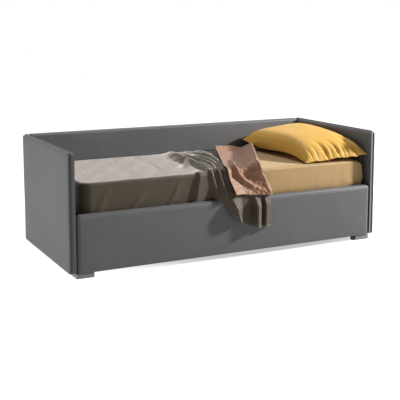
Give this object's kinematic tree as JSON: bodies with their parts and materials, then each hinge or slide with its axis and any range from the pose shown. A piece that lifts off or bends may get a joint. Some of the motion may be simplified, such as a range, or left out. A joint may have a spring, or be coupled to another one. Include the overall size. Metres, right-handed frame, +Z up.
{
  "type": "storage sofa bed",
  "caption": "Upholstered sofa bed with side and back panels and a slatted platform that lifts at the front over a storage box, with mattress, coverlet and pillow.",
  "frame": {"origin": "on the floor at the middle of the base, at the underside of the centre foot", "axes": "+X along the bed towards the pillow end, +Y from the front panel to the back panel, +Z up"},
  "size_m": [2.08, 0.9327, 0.71],
  "materials": {
    "leatherette": "satin",
    "board": "matt",
    "floor_panel": "matt",
    "white_plastic": "matt",
    "foot_metal": "satin",
    "black_plastic": "matt",
    "rubber": "matt",
    "frame_paint": "satin",
    "slat_beech": "satin",
    "rod_chrome": "polished",
    "cylinder_paint": "gloss",
    "webbing": "matt",
    "ticking": "matt",
    "ochre_cotton": "matt",
    "taupe_satin": "satin",
    "pink_satin": "satin",
    "gold_cotton": "matt",
    "black_steel": "satin",
    "zinc_steel": "satin"
  },
  "bodies": {
    "base": {"left_core_board": "board", "left_cover": "leatherette", "right_core_board": "board", "right_cover": "leatherette", "back_core_board": "board", "back_cover": "leatherette", "front_core_board": "board", "front_cover": "leatherette", "corner_brackets": "black_steel", "bracket_screws": "zinc_steel", "front_floor_batten": "board", "rear_floor_batten": "board", "end_floor_battens": "board", "foot_blocks": "board", "crossbeam": "board", "floor_panel_left": "floor_panel", "floor_panel_right": "floor_panel", "floor_joiner": "white_plastic", "foot_front_left": "foot_metal", "foot_front_right": "foot_metal", "foot_rear_left": "foot_metal", "foot_rear_right": "foot_metal", "centre_foot": "black_plastic", "foot_screws": "zinc_steel", "front_rest_batten": "board", "rest_buffers": "rubber", "base_plate_left": "black_steel", "base_plate_right": "black_steel", "base_plate_screws": "zinc_steel", "lower_pivots": "zinc_steel", "gas_lower_studs": "zinc_steel", "arm_stops": "rubber"},
    "rear_arms": {"rear_arm_left": "black_steel", "rear_arm_right": "black_steel"},
    "platform": {"front_rail": "frame_paint", "rear_rail": "frame_paint", "left_end_rail": "frame_paint", "right_end_rail": "frame_paint", "cross_bars": "frame_paint", "slats": "slat_beech", "slat_holders": "black_plastic", "platform_bracket_left": "black_steel", "platform_bracket_right": "black_steel", "bracket_bolts": "zinc_steel", "upper_pivots": "zinc_steel", "mattress_stops": "black_steel", "lift_strap": "webbing", "mattress": "ticking", "fitted_sheet": "ochre_cotton", "coverlet": "taupe_satin", "turned_back_sheet": "pink_satin", "pillow": "gold_cotton"},
    "front_arms": {"front_arm_left": "black_steel", "front_arm_right": "black_steel"},
    "gas_cylinders": {"gas_cylinder_left": "cylinder_paint", "gas_cylinder_right": "cylinder_paint"},
    "gas_rods": {"gas_rod_left": "rod_chrome", "gas_rod_right": "rod_chrome"}
  },
  "joints": [
    {"name": "arm_swing", "type": "hinge", "parent": "base", "child": "rear_arms", "pos_m": [0, 0.066, 0.1], "axis": [1, 0, 0], "range_deg": [0, 45.6]},
    {"name": "platform_tilt", "type": "hinge", "parent": "rear_arms", "child": "platform", "pos_m": [0, 0.19, 0.3], "axis": [-1, 0, 0], "range_deg": [0, 83.4]},
    {"name": "front_arm_swing", "type": "hinge", "parent": "base", "child": "front_arms", "pos_m": [0, -0.158, 0.12], "axis": [1, 0, 0], "range_deg": [0, 37.2]},
    {"name": "gas_cylinder_swing", "type": "hinge", "parent": "base", "child": "gas_cylinders", "pos_m": [0, 0.38, 0.105], "axis": [1, 0, 0], "range_deg": [0, 6.58]},
    {"name": "gas_rod_slide", "type": "slide", "parent": "gas_cylinders", "child": "gas_rods", "axis": [0, -0.8687, 0.4954], "range_m": [0, 0.1186]}
  ],
  "couplings": [
    {"joint": "arm_swing", "follows": "platform_tilt", "ratio": 0.54676},
    {"joint": "front_arm_swing", "follows": "platform_tilt", "ratio": 0.44594},
    {"joint": "gas_cylinder_swing", "follows": "platform_tilt", "ratio": 0.07879},
    {"joint": "gas_rod_slide", "follows": "platform_tilt", "m_per_rad": 0.081423}
  ]
}
